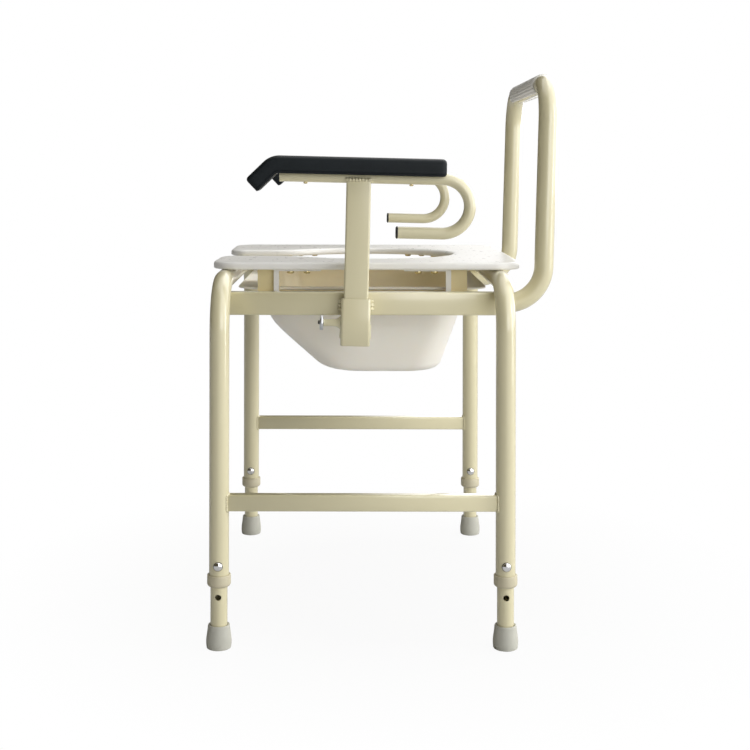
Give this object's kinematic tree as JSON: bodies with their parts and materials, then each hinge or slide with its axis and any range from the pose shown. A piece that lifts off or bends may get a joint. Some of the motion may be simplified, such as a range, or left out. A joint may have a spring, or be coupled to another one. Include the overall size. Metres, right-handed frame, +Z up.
{
  "type": "commode chair",
  "caption": "Bent-tube commode chair with an open-front seat, slide-out pan, lift-out padded arms, backrest and height-adjustable rubber-tipped legs.",
  "frame": {"origin": "floor level, at the middle of the chair's bounding box", "axes": "+Z up, the chair's front faces -Y, +X is the sitter's left"},
  "size_m": [0.5606, 0.4641, 0.7433],
  "materials": {
    "cream_paint": "glossy cream powder coat",
    "collar_plastic": "smooth cream-grey moulded plastic",
    "tip_rubber": "matt pale grey rubber",
    "white_plastic": "satin white moulded plastic",
    "pan_plastic": "slightly translucent off-white moulded plastic",
    "black_pad": "fine-grained black moulded foam",
    "black_plastic": "black moulded plastic",
    "chrome": "polished",
    "brass": "bright passivated",
    "silver": "zinc plated"
  },
  "bodies": {
    "frame": {"front_hoop": "cream_paint", "rear_hoop": "cream_paint", "backrest_tube": "cream_paint", "backrest_sleeve": "white_plastic", "front_left_collar": "collar_plastic", "front_right_collar": "collar_plastic", "rear_left_collar": "collar_plastic", "rear_right_collar": "collar_plastic", "left_upper_side_rail": "cream_paint", "left_lower_side_rail": "cream_paint", "left_arm_socket": "cream_paint", "left_latch_barrel": "cream_paint", "left_latch_spring": "chrome", "right_upper_side_rail": "cream_paint", "right_lower_side_rail": "cream_paint", "right_arm_socket": "cream_paint", "right_latch_barrel": "cream_paint", "right_latch_spring": "chrome"},
    "front_left_leg": {"front_left_leg_extension": "cream_paint", "front_left_rubber_tip": "tip_rubber"},
    "front_left_lock_pin": {"front_left_height_pin": "chrome"},
    "front_right_leg": {"front_right_leg_extension": "cream_paint", "front_right_rubber_tip": "tip_rubber"},
    "front_right_lock_pin": {"front_right_height_pin": "chrome"},
    "rear_left_leg": {"rear_left_leg_extension": "cream_paint", "rear_left_rubber_tip": "tip_rubber"},
    "rear_left_lock_pin": {"rear_left_height_pin": "chrome"},
    "rear_right_leg": {"rear_right_leg_extension": "cream_paint", "rear_right_rubber_tip": "tip_rubber"},
    "rear_right_lock_pin": {"rear_right_height_pin": "chrome"},
    "left_latch": {"left_latch_pin": "black_plastic", "left_latch_knob": "silver"},
    "left_arm": {"left_arm_upright": "cream_paint", "left_arm_tube": "cream_paint", "left_arm_pad": "black_pad", "left_arm_end_plug": "black_plastic", "left_pad_screw_front": "brass", "left_pad_screw_rear": "brass"},
    "right_latch": {"right_latch_pin": "black_plastic", "right_latch_knob": "silver"},
    "right_arm": {"right_arm_upright": "cream_paint", "right_arm_tube": "cream_paint", "right_arm_pad": "black_pad", "right_arm_end_plug": "black_plastic", "right_pad_screw_front": "brass", "right_pad_screw_rear": "brass"},
    "seat": {"seat_plate": "white_plastic", "left_pan_cradle": "white_plastic", "left_cradle_screw_front_1": "brass", "left_cradle_screw_front_2": "brass", "left_cradle_screw_rear_1": "brass", "left_cradle_screw_rear_2": "brass", "right_pan_cradle": "white_plastic", "right_cradle_screw_front_1": "brass", "right_cradle_screw_front_2": "brass", "right_cradle_screw_rear_1": "brass", "right_cradle_screw_rear_2": "brass"},
    "pan": {"pan": "pan_plastic"}
  },
  "joints": [
    {"name": "front_left_height", "type": "slide", "parent": "frame", "child": "front_left_leg", "axis": [0, 0, 1], "range_m": [-0.06, 0.04]},
    {"name": "front_left_pin_pull", "type": "slide", "parent": "frame", "child": "front_left_lock_pin", "axis": [1, 0, 0], "range_m": [0, 0.005]},
    {"name": "front_right_height", "type": "slide", "parent": "frame", "child": "front_right_leg", "axis": [0, 0, 1], "range_m": [-0.06, 0.04]},
    {"name": "front_right_pin_pull", "type": "slide", "parent": "frame", "child": "front_right_lock_pin", "axis": [1, 0, 0], "range_m": [0, 0.005]},
    {"name": "rear_left_height", "type": "slide", "parent": "frame", "child": "rear_left_leg", "axis": [0, 0, 1], "range_m": [-0.06, 0.04]},
    {"name": "rear_left_pin_pull", "type": "slide", "parent": "frame", "child": "rear_left_lock_pin", "axis": [1, 0, 0], "range_m": [0, 0.005]},
    {"name": "rear_right_height", "type": "slide", "parent": "frame", "child": "rear_right_leg", "axis": [0, 0, 1], "range_m": [-0.06, 0.04]},
    {"name": "rear_right_pin_pull", "type": "slide", "parent": "frame", "child": "rear_right_lock_pin", "axis": [1, 0, 0], "range_m": [0, 0.005]},
    {"name": "left_arm_lift", "type": "slide", "parent": "frame", "child": "left_arm", "axis": [0, 0.0218, 0.9998], "range_m": [0, 0.1]},
    {"name": "left_latch_pull", "type": "slide", "parent": "frame", "child": "left_latch", "axis": [0, -0.9998, 0.0218], "range_m": [0, 0.008]},
    {"name": "right_arm_lift", "type": "slide", "parent": "frame", "child": "right_arm", "axis": [0, 0.0218, 0.9998], "range_m": [0, 0.1]},
    {"name": "right_latch_pull", "type": "slide", "parent": "frame", "child": "right_latch", "axis": [0, -0.9998, 0.0218], "range_m": [0, 0.008]},
    {"name": "seat_lift", "type": "slide", "parent": "frame", "child": "seat", "axis": [0, 0, 1], "range_m": [0, 0.12]},
    {"name": "pan_slide", "type": "slide", "parent": "seat", "child": "pan", "axis": [0, 1, 0], "range_m": [0, 0.33]}
  ]
}
